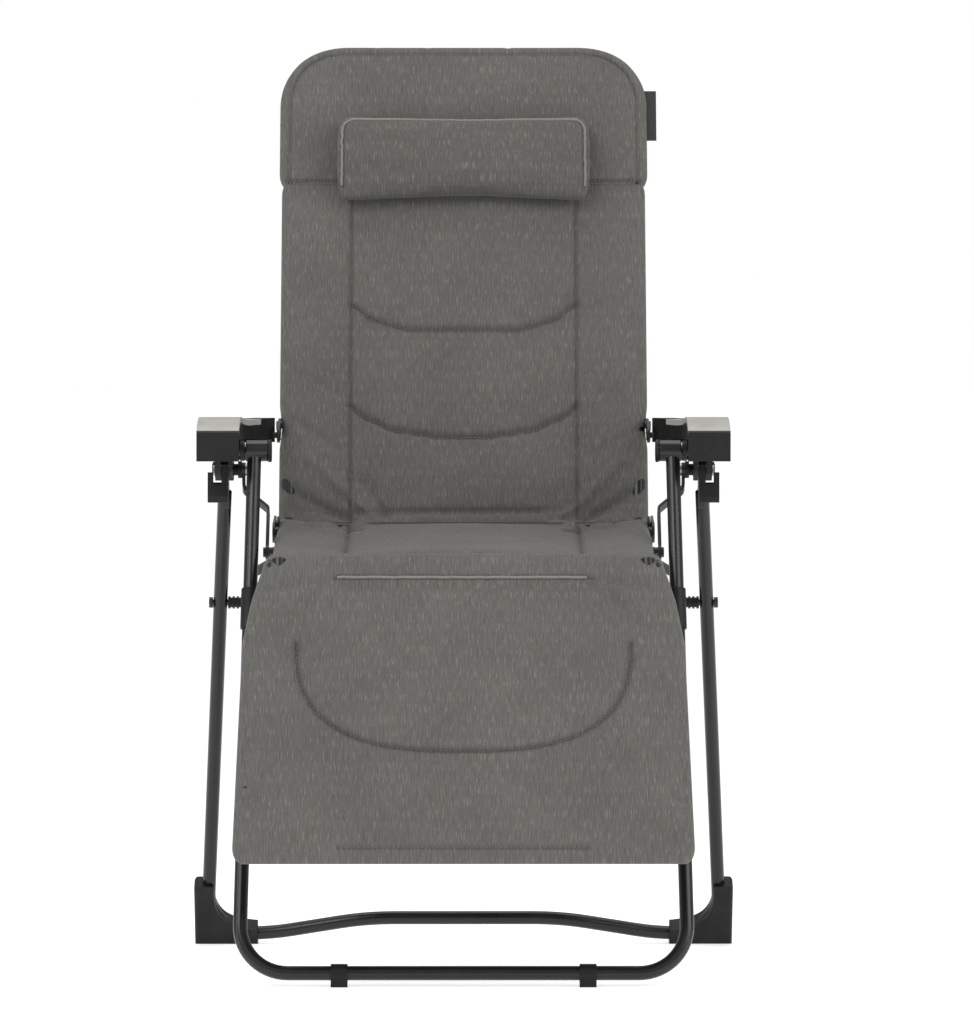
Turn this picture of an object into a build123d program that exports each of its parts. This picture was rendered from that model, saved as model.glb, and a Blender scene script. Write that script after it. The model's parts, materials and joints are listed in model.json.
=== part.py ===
from build123d import *
import os
from math import atan2, cos, degrees, hypot, radians, sin

os.makedirs("parts", exist_ok=True)

# Folding zero gravity recliner, millimetres.
# X is across the chair, +Y points to its back and +Z is up; the floor is Z = 0.
# Pivots are (y, z) points: every hinge axis runs along X.

# Pivots at rest
lock_pivot = (0.0, 640.0)            # top of the rear legs, under the armrest
front_hinge = (-65.0, 665.0)         # top of the front legs
arm_rear_pivot = (166.2, 683.15)     # rear end of the armrest
arm_back_pivot = (231.0, 695.0)      # bracket on the back frame
back_hip_pivot = (175.0, 545.0)
seat_hip_pivot = (129.05, 565.0)
knee_pivot = (-250.0, 520.0)
hanger_pivot = (-69.7, 535.1)        # lower end of the hanger, on the seat rail
rear_link_pivot = (186.05, 526.8)    # upper end of the rear link, on the seat bracket
rear_link_height = 465.5             # where the rear link meets the rear leg

# Feet and legs
rear_foot = (306.33, 11.0)           # centre of the rear leg tube at its foot
front_foot = (-300.0, 17.0)
leg_radius = 9.0
tube_wall = 1.2
rear_half_top = 307.0
rear_half_bottom = 344.0
front_half_top = 268.0
front_half_bottom = 280.0
leg_corner_radius = 60.0

# Back, seat and leg rest frames
frame_radius = 9.5
frame_half_width = 231.0
back_angle = 70.0                    # lean of the back, from the floor behind it
back_length = 692.0
back_corner_radius = 74.0
legrest_length = 379.0
legrest_angle = 245.44
legrest_half_bottom = 271.0
pad_half_width = 218.5
pad_half_thickness = 9.0

# Pins and their bores
lock_pin_radius = 5.0
pin_radius = 4.0
running_fit = 0.08
bolt_head = 3.1
head_radius = 6.5
press_fit = 0.02                     # bore over pin where the two turn together

# Side lanes, as ranges of x on the right side, from the inside out
hip_plate_lane = (241.5, 244.5)
bracket_lane = (245.5, 248.5)
lane_floor = 240.0                   # the links lie within this x and the depth outside it
lane_depth = 60.0
open_pivot_end = 249.2               # the seat's side of the two open pivots stops here
hanger_lane = (249.5, 253.5)
hanger_top_lane = (281.6, 285.6)
link_lane = (249.5, 252.5)
link_base_lane = (284.6, 287.6)
arm_bracket_lane = (242.0, 246.0)
arm_pin_head = (240.9, 241.8)        # thin head between the bracket and the folded seat rail
whole_width = (-340.0, 340.0)        # bores right through both sides
frame_width = (-260.0, 260.0)
right_tube = (200.0, 260.0)          # bores through the right side only
right_plate = (230.0, 260.0)
right_arm = (240.0, 300.0)
right_block = (270.0, 330.0)


def along(point, angle, distance):
    """Point at a distance from another, in a direction given in degrees."""
    return (point[0] + distance * cos(radians(angle)), point[1] + distance * sin(radians(angle)))


def bearing(start, end):
    """Direction in degrees from one (y, z) point to another."""
    return degrees(atan2(end[1] - start[1], end[0] - start[0]))


def span(start, end):
    return hypot(end[0] - start[0], end[1] - start[1])


def frame_plane(point, angle):
    """Plane of a U frame: local x across the chair, local y along the frame's sides."""
    up = Vector(0, cos(radians(angle)), sin(radians(angle)))
    return Plane(origin=(0, point[0], point[1]), x_dir=(1, 0, 0), z_dir=Vector(1, 0, 0).cross(up))


def round_tube(path, radius, wall):
    """Tube swept along a path in the open builder."""
    with BuildSketch(Plane(origin=path @ 0, z_dir=path % 0)) as section:
        Circle(radius)
        Circle(radius - wall, mode=Mode.SUBTRACT)
    sweep(section.sketch, path=path)


def cross_disc(lane, point, radius, mode=Mode.ADD):
    """Disc, pin or bore along X in the open builder."""
    with BuildSketch(Plane.YZ.offset(lane[0])) as section:
        with Locations(point):
            Circle(radius)
    extrude(section.sketch, amount=lane[1] - lane[0], mode=mode)


def cross_slot(lane, start, end, width, mode=Mode.ADD):
    """Flat bar with round ends between two pivots in the open builder."""
    centre = ((start[0] + end[0]) / 2, (start[1] + end[1]) / 2)
    with BuildSketch(Plane.YZ.offset(lane[0])) as section:
        with Locations(Location((centre[0], centre[1], 0), (0, 0, bearing(start, end)))):
            SlotCenterToCenter(span(start, end), width)
    extrude(section.sketch, amount=lane[1] - lane[0], mode=mode)


def save(shape, name):
    shape.label = name
    export_step(shape, f"parts/{name}.step")


def save_pair(shape, name):
    """The same piece on both sides; left and right are as seen from the front."""
    save(shape, f"{name}_right")
    save(mirror(shape, about=Plane.YZ), f"{name}_left")


rear_leg_angle = bearing(rear_foot, lock_pivot)
rear_leg_length = span(rear_foot, lock_pivot)
rear_leg_plane = frame_plane(rear_foot, rear_leg_angle)
front_leg_angle = bearing(front_foot, front_hinge)
front_leg_length = span(front_foot, front_hinge)
front_leg_plane = frame_plane(front_foot, front_leg_angle)
back_plane = frame_plane(back_hip_pivot, back_angle)
seat_angle = bearing(seat_hip_pivot, knee_pivot)
seat_length = span(seat_hip_pivot, knee_pivot)
seat_plane = frame_plane(seat_hip_pivot, seat_angle)
legrest_plane = frame_plane(knee_pivot, legrest_angle)
rear_link_share = (rear_link_height - rear_foot[1]) / (lock_pivot[1] - rear_foot[1])
rear_link_base = along(rear_foot, rear_leg_angle, rear_link_share * rear_leg_length)
rear_half_at_link = rear_half_bottom + (rear_half_top - rear_half_bottom) * rear_link_share

# Rear legs
rear_bar_low = (250.0, 5.0)          # half width and rise where the rear bar starts to arch
rear_bar_high = (130.0, 27.0)
rear_tube_top = rear_leg_length - 32.0
tongue_length = 46.0
tongue_lane = (303.0, 311.0)
tongue_width = 21.0
rear_bar_bends = [leg_corner_radius, 300, 400, 400, 300, leg_corner_radius]

with BuildPart() as rear_leg_tube:
    top_half = rear_half_bottom + (rear_half_top - rear_half_bottom) * rear_tube_top / rear_leg_length
    with BuildLine(rear_leg_plane) as rear_path:
        FilletPolyline(
            (-top_half, rear_tube_top),
            (-rear_half_bottom, 0),
            (-rear_bar_low[0], rear_bar_low[1]),
            (-rear_bar_high[0], rear_bar_high[1]),
            (rear_bar_high[0], rear_bar_high[1]),
            (rear_bar_low[0], rear_bar_low[1]),
            (rear_half_bottom, 0),
            (top_half, rear_tube_top),
            radius=rear_bar_bends,
        )
    round_tube(rear_path.wires()[0], leg_radius, tube_wall)
    # flattened tongues that carry the lock shaft
    tongue_foot = along(lock_pivot, rear_leg_angle + 180, tongue_length)
    cross_slot(tongue_lane, lock_pivot, tongue_foot, tongue_width)
    cross_slot((-tongue_lane[1], -tongue_lane[0]), lock_pivot, tongue_foot, tongue_width)
    cross_disc(whole_width, lock_pivot, lock_pin_radius + running_fit, mode=Mode.SUBTRACT)
    cross_disc(whole_width, rear_link_base, pin_radius + running_fit, mode=Mode.SUBTRACT)
save(rear_leg_tube.part, "rear_leg_tube")

# Corner feet: a boot around each corner of the tube, with an arm along the bar
foot_outer = 360.0
foot_inner = 276.0
foot_top = 83.0
foot_arm_top = 15.5
foot_half_depth = 14.0
foot_shoulder = foot_outer - 26.0
foot_under = -45.0                   # below the floor, cut off flat afterwards
foot_hollow = (foot_inner + 42.0, 28.0)
foot_edge = 5.0

with BuildPart() as rear_tube_space:
    with BuildSketch(Plane(origin=rear_path.wires()[0] @ 0, z_dir=rear_path.wires()[0] % 0)):
        Circle(leg_radius + press_fit)
    sweep(path=rear_path.wires()[0])

with BuildPart() as rear_foot_corner:
    with BuildSketch(rear_leg_plane.offset(-foot_half_depth)):
        with BuildLine():
            Polyline(
                (foot_inner, foot_arm_top),
                (foot_inner, foot_under),
                (foot_outer, foot_under),
                (foot_outer, foot_top),
                (foot_shoulder, foot_top),
            )
            Spline(
                (foot_shoulder, foot_top),
                foot_hollow,
                (foot_inner, foot_arm_top),
                tangents=[(0.05, -1), (-1, -0.1)],
            )
        make_face()
    extrude(amount=2 * foot_half_depth)
    fillet(rear_foot_corner.edges().filter_by(GeomType.LINE).group_by(Axis.X)[-1], foot_edge)
    split(bisect_by=Plane.XY, keep=Keep.TOP)
    add(rear_tube_space.part, mode=Mode.SUBTRACT)
save_pair(rear_foot_corner.part.solids().sort_by(SortBy.VOLUME)[-1], "rear_foot")

# Bolts through the rear legs that carry the rear links
link_bolt_head = (rear_half_at_link + leg_radius + 0.6, 332.0)

with BuildPart() as link_bolts:
    cross_disc((link_base_lane[0], link_bolt_head[1] - 1.0), rear_link_base, pin_radius)
    cross_disc(link_bolt_head, rear_link_base, head_radius + 0.5)
    mirror(about=Plane.YZ)
save(link_bolts.part, "link_bolts")

# Front legs
front_tube_top = front_leg_length - 10.0
barrel_lane = (250.0, 279.0)
barrel_radius = 13.5
barrel_edge = 1.5
hinge_pin_radius = 5.0
cap_lane = (245.6, 250.0)

with BuildPart() as front_leg_tube:
    with BuildLine(front_leg_plane) as front_path:
        FilletPolyline(
            (-front_half_top, front_tube_top),
            (-front_half_bottom, 0),
            (front_half_bottom, 0),
            (front_half_top, front_tube_top),
            radius=leg_corner_radius,
        )
    round_tube(front_path.wires()[0], leg_radius, tube_wall)
    cross_disc(whole_width, front_hinge, barrel_radius + press_fit, mode=Mode.SUBTRACT)
save(front_leg_tube.part, "front_leg_tube")

with BuildPart() as front_hinge_barrel:
    cross_disc(barrel_lane, front_hinge, barrel_radius)
    fillet(front_hinge_barrel.edges().filter_by(GeomType.CIRCLE), barrel_edge)
    cross_disc(right_arm, front_hinge, hinge_pin_radius + running_fit, mode=Mode.SUBTRACT)
save_pair(front_hinge_barrel.part, "front_hinge_barrel")

with BuildPart() as hinge_caps:
    cross_disc(cap_lane, front_hinge, barrel_radius + 1.0)
    fillet(hinge_caps.edges().group_by(Axis.X)[0], barrel_edge)
    mirror(about=Plane.YZ)
save(hinge_caps.part, "hinge_caps")

sleeve_span = (450.0, 503.0)
sleeve_wall = 2.35
sleeve_edge = 0.8

with BuildPart() as front_leg_sleeve:
    sleeve_half = [
        front_half_bottom + (front_half_top - front_half_bottom) * s / front_tube_top for s in sleeve_span
    ]
    with BuildLine(front_leg_plane) as sleeve_path:
        Line((sleeve_half[0], sleeve_span[0]), (sleeve_half[1], sleeve_span[1]))
    round_tube(sleeve_path.wires()[0], leg_radius + 2.4, sleeve_wall)
    fillet(front_leg_sleeve.edges().filter_by(GeomType.CIRCLE).sort_by(SortBy.LENGTH)[-2:], sleeve_edge)
save_pair(front_leg_sleeve.part, "front_leg_sleeve")

clip_offset = 155.0
clip_width = 21.0
clip_sole = 17.0
clip_wall = 2.6

with BuildPart() as front_foot_clips:
    with BuildSketch(Plane.YZ.offset(clip_offset - clip_width / 2)):
        with Locations(front_foot):
            Circle(leg_radius + clip_wall)
        with Locations((front_foot[0], front_foot[1] / 2)):
            Rectangle(clip_sole, front_foot[1])
        with Locations(front_foot):
            Circle(leg_radius + press_fit, mode=Mode.SUBTRACT)
    extrude(amount=clip_width)
    mirror(about=Plane.YZ)
save(front_foot_clips.part, "front_foot_clips")

# Lock blocks
inner_cheek = (297.0, 302.0)
outer_cheek = (312.0, 320.0)
saddle_edge = 3.0
rail_x = 307.0
rail_angle = -17.65
rail_centre = (0.0, 675.0)
rail_slack = 0.4
rail_size = (12.0, 8.0)
rail_half_length = 54.0
lever_pivot = (-30.0, 646.0)
lever_pin_radius = 2.5
lever_outer = (322.0, 329.0)
hinge_plate_lane = (280.5, 286.0)
hinge_plate_radius = 13.0
cheek_outline = ((-44, 654), (-38, 638), (-14, 626), (14, 626), (26, 640), (26, 660), (-44, 660))
saddle_outline = ((-28, 656), (26, 656), (26, 678), (16, 684), (-28, 684))
hinge_arm_outline = ((-65, 652.5), (-24, 652.5), (-24, 668), (-60, 677))
hinge_root_outline = ((-44, 653), (-24, 653), (-24, 668), (-44, 668))

with BuildPart() as lock_housing:
    for lane in (inner_cheek, outer_cheek):
        with BuildSketch(Plane.YZ.offset(lane[0])):
            Polygon(*cheek_outline, align=None)
        extrude(amount=lane[1] - lane[0])
    # saddle above the leg tongue that holds the armrest rail
    with BuildSketch(Plane.YZ.offset(inner_cheek[0])):
        Polygon(*saddle_outline, align=None)
    extrude(amount=outer_cheek[1] - inner_cheek[0])
    fillet(lock_housing.edges().filter_by(Axis.X).group_by(Axis.Z)[-1], saddle_edge)
    # arm forward to the front leg hinge
    with BuildSketch(Plane.YZ.offset(hinge_plate_lane[0])):
        with Locations(front_hinge):
            Circle(hinge_plate_radius)
        Polygon(*hinge_arm_outline, align=None)
    extrude(amount=hinge_plate_lane[1] - hinge_plate_lane[0])
    with BuildSketch(Plane.YZ.offset(hinge_plate_lane[0])):
        Polygon(*hinge_root_outline, align=None)
    extrude(amount=inner_cheek[1] - hinge_plate_lane[0])
    # bores and the rail channel
    cross_disc(right_block, lock_pivot, lock_pin_radius + press_fit, mode=Mode.SUBTRACT)
    cross_disc(right_block, front_hinge, hinge_pin_radius + press_fit, mode=Mode.SUBTRACT)
    cross_disc(right_block, lever_pivot, lever_pin_radius + press_fit, mode=Mode.SUBTRACT)
    with BuildSketch(Plane.YZ.offset(rail_x - (rail_size[0] + rail_slack) / 2)):
        with Locations(Location((rail_centre[0], rail_centre[1], 0), (0, 0, rail_angle))):
            Rectangle(4 * rail_half_length, rail_size[1] + rail_slack)
    extrude(amount=rail_size[0] + rail_slack, mode=Mode.SUBTRACT)
save_pair(lock_housing.part, "lock_housing")

shaft_lane = (281.4, 320.2)
shaft_nut_lane = (279.4, shaft_lane[0])
shaft_head_lane = (shaft_lane[1], 324.5)
shaft_head_radius = 8.0

with BuildPart() as lock_shafts:
    cross_disc(shaft_lane, lock_pivot, lock_pin_radius)
    cross_disc(shaft_nut_lane, lock_pivot, shaft_head_radius)
    cross_disc(shaft_head_lane, lock_pivot, shaft_head_radius)
    mirror(about=Plane.YZ)
save(lock_shafts.part, "lock_shafts")

hinge_pin_lane = (250.2, 286.1)
lever_pin_lane = (297.0, 320.4)

with BuildPart() as hinge_pins:
    cross_disc(hinge_pin_lane, front_hinge, hinge_pin_radius)
    cross_disc((hinge_pin_lane[1], 289.0), front_hinge, head_radius)
    mirror(about=Plane.YZ)
save(hinge_pins.part, "hinge_pins")

with BuildPart() as lever_pins:
    cross_disc(lever_pin_lane, lever_pivot, lever_pin_radius)
    cross_disc((lever_pin_lane[1], lever_pin_lane[1] + 2.0), lever_pivot, lever_pin_radius + 2.0)
    mirror(about=Plane.YZ)
save(lever_pins.part, "lever_pins")

lever_hub_lane = (302.6, 311.4)
lever_hub_radius = 5.6
lever_foot_start = 303.0
lever_edge = 2.0
lever_stem_outline = ((-35.4, 646), (-27, 641), (-26, 622), (-36, 622))
lever_foot_outline = ((-36.5, 622), (-26, 624), (-24.5, 608), (-29, 598), (-36, 598), (-39, 606))
lever_grip_outline = ((-37, 612), (-25.5, 612), (-27, 637), (-36, 637))

with BuildPart() as lock_lever:
    cross_disc(lever_hub_lane, lever_pivot, lever_hub_radius)
    with BuildSketch(Plane.YZ.offset(lever_hub_lane[0])):
        Polygon(*lever_stem_outline, align=None)
    extrude(amount=lever_hub_lane[1] - lever_hub_lane[0])
    with BuildSketch(Plane.YZ.offset(lever_foot_start)):
        Polygon(*lever_foot_outline, align=None)
    extrude(amount=lever_outer[1] - lever_foot_start)
    fillet(lock_lever.edges().filter_by(Axis.X).group_by(Axis.Z)[0], lever_edge)
    # the grip rises outside the lock block
    with BuildSketch(Plane.YZ.offset(lever_outer[0])):
        Polygon(*lever_grip_outline, align=None)
    extrude(amount=lever_outer[1] - lever_outer[0])
    cross_disc(right_block, lever_pivot, lever_pin_radius + running_fit, mode=Mode.SUBTRACT)
save_pair(lock_lever.part, "lock_lever")

# Hangers
spacer_flange_lane = (286.0, 291.0)
spacer_flange_radius = 11.0
spacer_neck_end = 296.6
spacer_neck_radius = 7.5

with BuildPart() as shaft_spacers:
    cross_disc(spacer_flange_lane, lock_pivot, spacer_flange_radius)
    cross_disc((spacer_flange_lane[1], spacer_neck_end), lock_pivot, spacer_neck_radius)
    cross_disc(right_block, lock_pivot, lock_pin_radius + running_fit, mode=Mode.SUBTRACT)
    mirror(about=Plane.YZ)
save(shaft_spacers.part, "shaft_spacers")


def cranked_bar(start, end, start_lane, end_lane, bend_from, bend_to, width, pin, bow=0.0):
    """Flat bar between two pivots, stepped sideways from one lane to the other.

    The bow moves the stepped stretch off the straight line between the pivots.
    """
    angle = bearing(start, end)
    length = span(start, end)
    thick = start_lane[1] - start_lane[0]
    start_x = (start_lane[0] + start_lane[1]) / 2
    end_x = (end_lane[0] + end_lane[1]) / 2
    plane = frame_plane(start, angle)
    with BuildPart() as bar:
        with BuildSketch(plane.offset(-2 * width)):
            with BuildLine():
                FilletPolyline(
                    (start_x, 0), (start_x, bend_from), (end_x, bend_to), (end_x, length), radius=8
                )
            trace(line_width=thick)
        extrude(amount=4 * width)
        bow_start = along(along(start, angle, bend_from + 2), angle + 90, bow)
        bow_end = along(along(start, angle, bend_to + 6), angle + 90, 0.75 * bow)
        with BuildSketch(Plane.YZ.offset(lane_floor)):
            with BuildLine():
                if bow:
                    FilletPolyline(start, bow_start, bow_end, end, radius=10)
                else:
                    Line(start, end)
            trace(line_width=width)
        extrude(amount=lane_depth, mode=Mode.INTERSECT)
        cross_disc(start_lane, start, width * 0.62)
        cross_disc(end_lane, end, width * 0.62)
        for pivot, pin_size in ((start, pin), (end, pin_radius)):
            bore = (lane_floor, lane_floor + lane_depth)
            cross_disc(bore, pivot, pin_size + running_fit, mode=Mode.SUBTRACT)
    return bar.part


hanger_bend_from = 22.0
hanger_bend_to = 54.0
hanger_width = 15.0
hanger_bow = 14.0                    # keeps the hanger clear of the folded front leg

hanger_link = cranked_bar(
    lock_pivot,
    hanger_pivot,
    hanger_top_lane,
    hanger_lane,
    hanger_bend_from,
    hanger_bend_to,
    hanger_width,
    lock_pin_radius,
    bow=hanger_bow,
)
save_pair(hanger_link, "hanger_link")

with BuildPart() as hanger_bolts:
    cross_disc(hanger_lane, hanger_pivot, pin_radius)
    cross_disc((hanger_lane[1], hanger_lane[1] + bolt_head), hanger_pivot, head_radius)
    mirror(about=Plane.YZ)
save(hanger_bolts.part, "hanger_bolts")

# Rear links
ribbed_lane = (288.0, 307.4)
rib_count = 4
rib_pitch = 5.4
rib_width = 2.6
rib_radius = 8.2

with BuildPart() as link_spacers:
    cross_disc(ribbed_lane, rear_link_base, head_radius)
    for rib in range(rib_count):
        rib_start = ribbed_lane[0] + rib * rib_pitch
        cross_disc((rib_start, rib_start + rib_width), rear_link_base, rib_radius)
    cross_disc(right_block, rear_link_base, pin_radius + running_fit, mode=Mode.SUBTRACT)
    mirror(about=Plane.YZ)
save(link_spacers.part, "link_spacers")

link_bend_from = 60.0
link_bend_to = 98.0
link_width = 14.0

rear_link = cranked_bar(
    rear_link_base,
    rear_link_pivot,
    link_base_lane,
    link_lane,
    link_bend_from,
    link_bend_to,
    link_width,
    pin_radius,
)
save_pair(rear_link, "rear_link")

with BuildPart() as rear_link_bolts:
    cross_disc(link_lane, rear_link_pivot, pin_radius)
    cross_disc((link_lane[1], link_lane[1] + bolt_head), rear_link_pivot, head_radius)
    mirror(about=Plane.YZ)
save(rear_link_bolts.part, "rear_link_bolts")

# Armrests
arm_inner = 286.0
arm_outer = 340.0
arm_nose = -118.0
arm_tail = 182.0
arm_tail_inner = 249.0
arm_tail_outer = 276.0
arm_nose_top = 689.0
arm_crest_top = 706.0
arm_waist_top = 704.0
arm_tail_top = 706.0
arm_tail_bottom = 674.0
arm_box_bottom = 652.0
inner_wall_bottom = 679.0
arm_cavity_end = 112.0
arm_inner_bend = 20.0                # where the inner and outer sides start to curve to the tail
arm_outer_bend = 40.0
arm_crest = -62.0
arm_waist = 60.0
arm_belly = (50.0, 90.0)             # where the underside climbs to the tail
cover_thickness = 7.0
shell_wall = 3.2
nose_lip = 4.0
cover_back = 112.0
web_places = ((-54.0, inner_wall_bottom), (44.0, arm_box_bottom + 1.0))
web_width = 6.0
web_top = 689.0
arm_pin_end = 268.0


def arm_plan(inset, front, back):
    """Outline of the armrest seen from above, made smaller all round by the inset."""
    with BuildLine() as outline:
        Line((arm_outer - inset, front), (arm_inner + inset, front))
        Line((arm_inner + inset, front), (arm_inner + inset, arm_inner_bend))
        Spline(
            (arm_inner + inset, arm_inner_bend), (arm_tail_inner + inset, back), tangents=[(0, 1), (-0.05, 1)]
        )
        Line((arm_tail_inner + inset, back), (arm_tail_outer - inset, back))
        Spline(
            (arm_tail_outer - inset, back),
            (arm_outer - inset, arm_outer_bend),
            tangents=[(0.05, -1), (0, -1)],
        )
        Line((arm_outer - inset, arm_outer_bend), (arm_outer - inset, front))
    make_face(outline.edges())


def arm_top_edge(drop):
    """Top line of the armrest seen from the side, lowered by the drop."""
    Spline(
        (arm_nose, arm_nose_top - drop),
        (arm_crest, arm_crest_top - drop),
        (arm_waist, arm_waist_top - drop),
        (arm_tail, arm_tail_top - drop),
        tangents=[(1, 0.55), (1, 0.0)],
    )


def arm_block(inset, front, drop, low_front, low_back):
    """Solid armrest: its plan outline cut to its side profile."""
    with BuildPart(mode=Mode.PRIVATE) as block:
        with BuildSketch(Plane.XY.offset(600)):
            arm_plan(inset, front, arm_tail)
        extrude(amount=150)
        with BuildSketch(Plane.YZ.offset(200)):
            with BuildLine():
                arm_top_edge(drop)
                Polyline(
                    (arm_tail, arm_tail_top - drop),
                    (arm_tail, low_back),
                    (arm_belly[1], low_back),
                    (arm_belly[0], low_front),
                    (arm_nose, low_front),
                    (arm_nose, arm_nose_top - drop),
                )
            make_face()
        extrude(amount=150, mode=Mode.INTERSECT)
    return block.part


with BuildPart() as armrest_base:
    add(arm_block(0, arm_nose, cover_thickness, arm_box_bottom, arm_tail_bottom))
    # the nose and the tail rise to the height of the cover
    for place, kept in ((arm_nose + nose_lip, Keep.TOP), (cover_back, Keep.BOTTOM)):
        with BuildPart(mode=Mode.PRIVATE) as arm_end:
            add(arm_block(0, arm_nose, 0, arm_box_bottom, arm_tail_bottom))
            split(bisect_by=Plane.XZ.offset(-place), keep=kept)
        add(arm_end.part)
    with BuildPart(mode=Mode.PRIVATE) as arm_cavity:
        add(arm_block(shell_wall, arm_nose + shell_wall, cover_thickness + shell_wall, 630, 630))
        split(bisect_by=Plane.XZ.offset(-arm_cavity_end), keep=Keep.TOP)
    add(arm_cavity.part, mode=Mode.SUBTRACT)
    # the inner wall stops above the arm of the front leg hinge
    with BuildSketch(Plane.YZ.offset(arm_inner - 40)):
        Polygon(
            (arm_nose + 8, 600), (100, 600), (100, inner_wall_bottom), (arm_nose + 8, inner_wall_bottom),
            align=None,
        )
    extrude(amount=40 + shell_wall, mode=Mode.SUBTRACT)
    # webs that hold the two ends of the rail
    for web_start, web_bottom in web_places:
        with BuildSketch(Plane.YZ.offset(arm_inner + shell_wall)):
            with Locations((web_start, web_bottom)):
                Rectangle(web_width, web_top - web_bottom, align=(Align.MIN, Align.MIN))
        extrude(amount=arm_outer - arm_inner - 2 * shell_wall)
    with BuildSketch(Plane.YZ.offset(rail_x - rail_size[0] / 2)):
        with Locations(Location((rail_centre[0], rail_centre[1], 0), (0, 0, rail_angle))):
            Rectangle(2 * rail_half_length, rail_size[1])
    extrude(amount=rail_size[0], mode=Mode.SUBTRACT)
    cross_disc(right_arm, arm_rear_pivot, pin_radius + press_fit, mode=Mode.SUBTRACT)
save_pair(armrest_base.part, "armrest_base")

with BuildPart() as armrest_cover:
    add(arm_block(0, arm_nose + nose_lip, 0, 600, 600))
    add(arm_block(-5, arm_nose + nose_lip, cover_thickness, 600, 600), mode=Mode.SUBTRACT)
    split(bisect_by=Plane.XZ.offset(-cover_back), keep=Keep.TOP)
save_pair(armrest_cover.part, "armrest_cover")

# Flat rail inside each armrest, which slides through the lock block
with BuildPart() as armrest_rails:
    with BuildSketch(Plane.YZ.offset(rail_x - rail_size[0] / 2)):
        with Locations(Location((rail_centre[0], rail_centre[1], 0), (0, 0, rail_angle))):
            Rectangle(2 * rail_half_length, rail_size[1])
    extrude(amount=rail_size[0])
    mirror(about=Plane.YZ)
save(armrest_rails.part, "armrest_rails")

with BuildPart() as arm_rear_pins:
    cross_disc((arm_pin_head[0], arm_pin_end), arm_rear_pivot, pin_radius)
    cross_disc(arm_pin_head, arm_rear_pivot, head_radius)
    mirror(about=Plane.YZ)
save(arm_rear_pins.part, "arm_rear_pins")

arm_bracket_width = 20.0
arm_bracket_edge = 1.0

with BuildPart() as arm_bracket:
    cross_slot(arm_bracket_lane, arm_rear_pivot, arm_back_pivot, arm_bracket_width)
    fillet(arm_bracket.edges().group_by(Axis.X)[-1], arm_bracket_edge)
    for pivot in (arm_rear_pivot, arm_back_pivot):
        cross_disc(right_plate, pivot, pin_radius + running_fit, mode=Mode.SUBTRACT)
save_pair(arm_bracket.part, "arm_bracket")

# Back
tube_overrun = 12.0                  # tube past its hinge pin
frame_inside = (-frame_half_width + frame_radius, frame_half_width - frame_radius)
bar_radius = 8.0
tube_pin_start = 223.0
bracket_pin_end = 246.2

with BuildPart() as back_frame:
    with BuildLine(back_plane) as back_path:
        FilletPolyline(
            (-frame_half_width, -tube_overrun),
            (-frame_half_width, back_length),
            (frame_half_width, back_length),
            (frame_half_width, -tube_overrun),
            radius=back_corner_radius,
        )
    round_tube(back_path.wires()[0], frame_radius, tube_wall)
    for pivot in (back_hip_pivot, arm_back_pivot):
        cross_disc(frame_width, pivot, pin_radius + press_fit, mode=Mode.SUBTRACT)
save(back_frame.part, "back_frame")

with BuildPart() as back_lower_bar:
    bar_point = along(back_hip_pivot, back_angle, 32.0)
    cross_disc(frame_inside, bar_point, bar_radius)
    cross_disc(frame_width, bar_point, bar_radius - tube_wall, mode=Mode.SUBTRACT)
save(back_lower_bar.part, "back_lower_bar")

with BuildPart() as back_pins:
    cross_disc((tube_pin_start, hip_plate_lane[1] + 0.4), back_hip_pivot, pin_radius)
    cross_disc((tube_pin_start, bracket_pin_end), arm_back_pivot, pin_radius)
    cross_disc((bracket_pin_end, bracket_pin_end + 2.4), arm_back_pivot, head_radius)
    mirror(about=Plane.YZ)
save(back_pins.part, "back_pins")

back_pad_span = (48.0, 495.0)
head_pad_span = (497.0, 676.0)
head_pad_corner = 62.0

with BuildPart() as back_pad:
    with BuildSketch(back_plane.offset(-pad_half_thickness)):
        with Locations((0, sum(back_pad_span) / 2)):
            Rectangle(2 * pad_half_width, back_pad_span[1] - back_pad_span[0])
    extrude(amount=2 * pad_half_thickness)
save(back_pad.part, "back_pad")

with BuildPart() as head_pad:
    with BuildSketch(back_plane.offset(-pad_half_thickness)):
        with BuildLine():
            FilletPolyline(
                (-pad_half_width, head_pad_span[0]),
                (-pad_half_width, head_pad_span[1]),
                (pad_half_width, head_pad_span[1]),
                (pad_half_width, head_pad_span[0]),
                radius=head_pad_corner,
            )
            Line((pad_half_width, head_pad_span[0]), (-pad_half_width, head_pad_span[0]))
        make_face()
    extrude(amount=2 * pad_half_thickness)
save(head_pad.part, "head_pad")

# Bolster pillow on the front of the head section
pillow_half_width = 170.0
pillow_half_height = 64.0
pillow_half_depth = 27.0
pillow_centre = along(along(back_hip_pivot, back_angle, 527.0), back_angle + 90, pad_half_thickness + 28.5)

with BuildPart() as head_pillow:
    with BuildSketch(Plane.YZ.offset(-pillow_half_width)):
        with Locations(Location((pillow_centre[0], pillow_centre[1], 0), (0, 0, back_angle))):
            Ellipse(pillow_half_height, pillow_half_depth)
    extrude(amount=2 * pillow_half_width)
save(head_pillow.part, "head_pillow")

label_place = (250.5, 604.0)
label_size = (19.6, 72.0, 1.2)

with BuildPart() as side_label:
    with BuildSketch(back_plane.offset(-label_size[2] / 2)):
        with Locations(label_place):
            Rectangle(label_size[0], label_size[1])
    extrude(amount=label_size[2])
save(side_label.part, "side_label")

# Hip hinge
hip_plate_width = 24.0

with BuildPart() as hip_plates:
    cross_slot(hip_plate_lane, back_hip_pivot, seat_hip_pivot, hip_plate_width)
    for pivot in (back_hip_pivot, seat_hip_pivot):
        cross_disc(right_plate, pivot, pin_radius + running_fit, mode=Mode.SUBTRACT)
    mirror(about=Plane.YZ)
save(hip_plates.part, "hip_plates")

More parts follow.
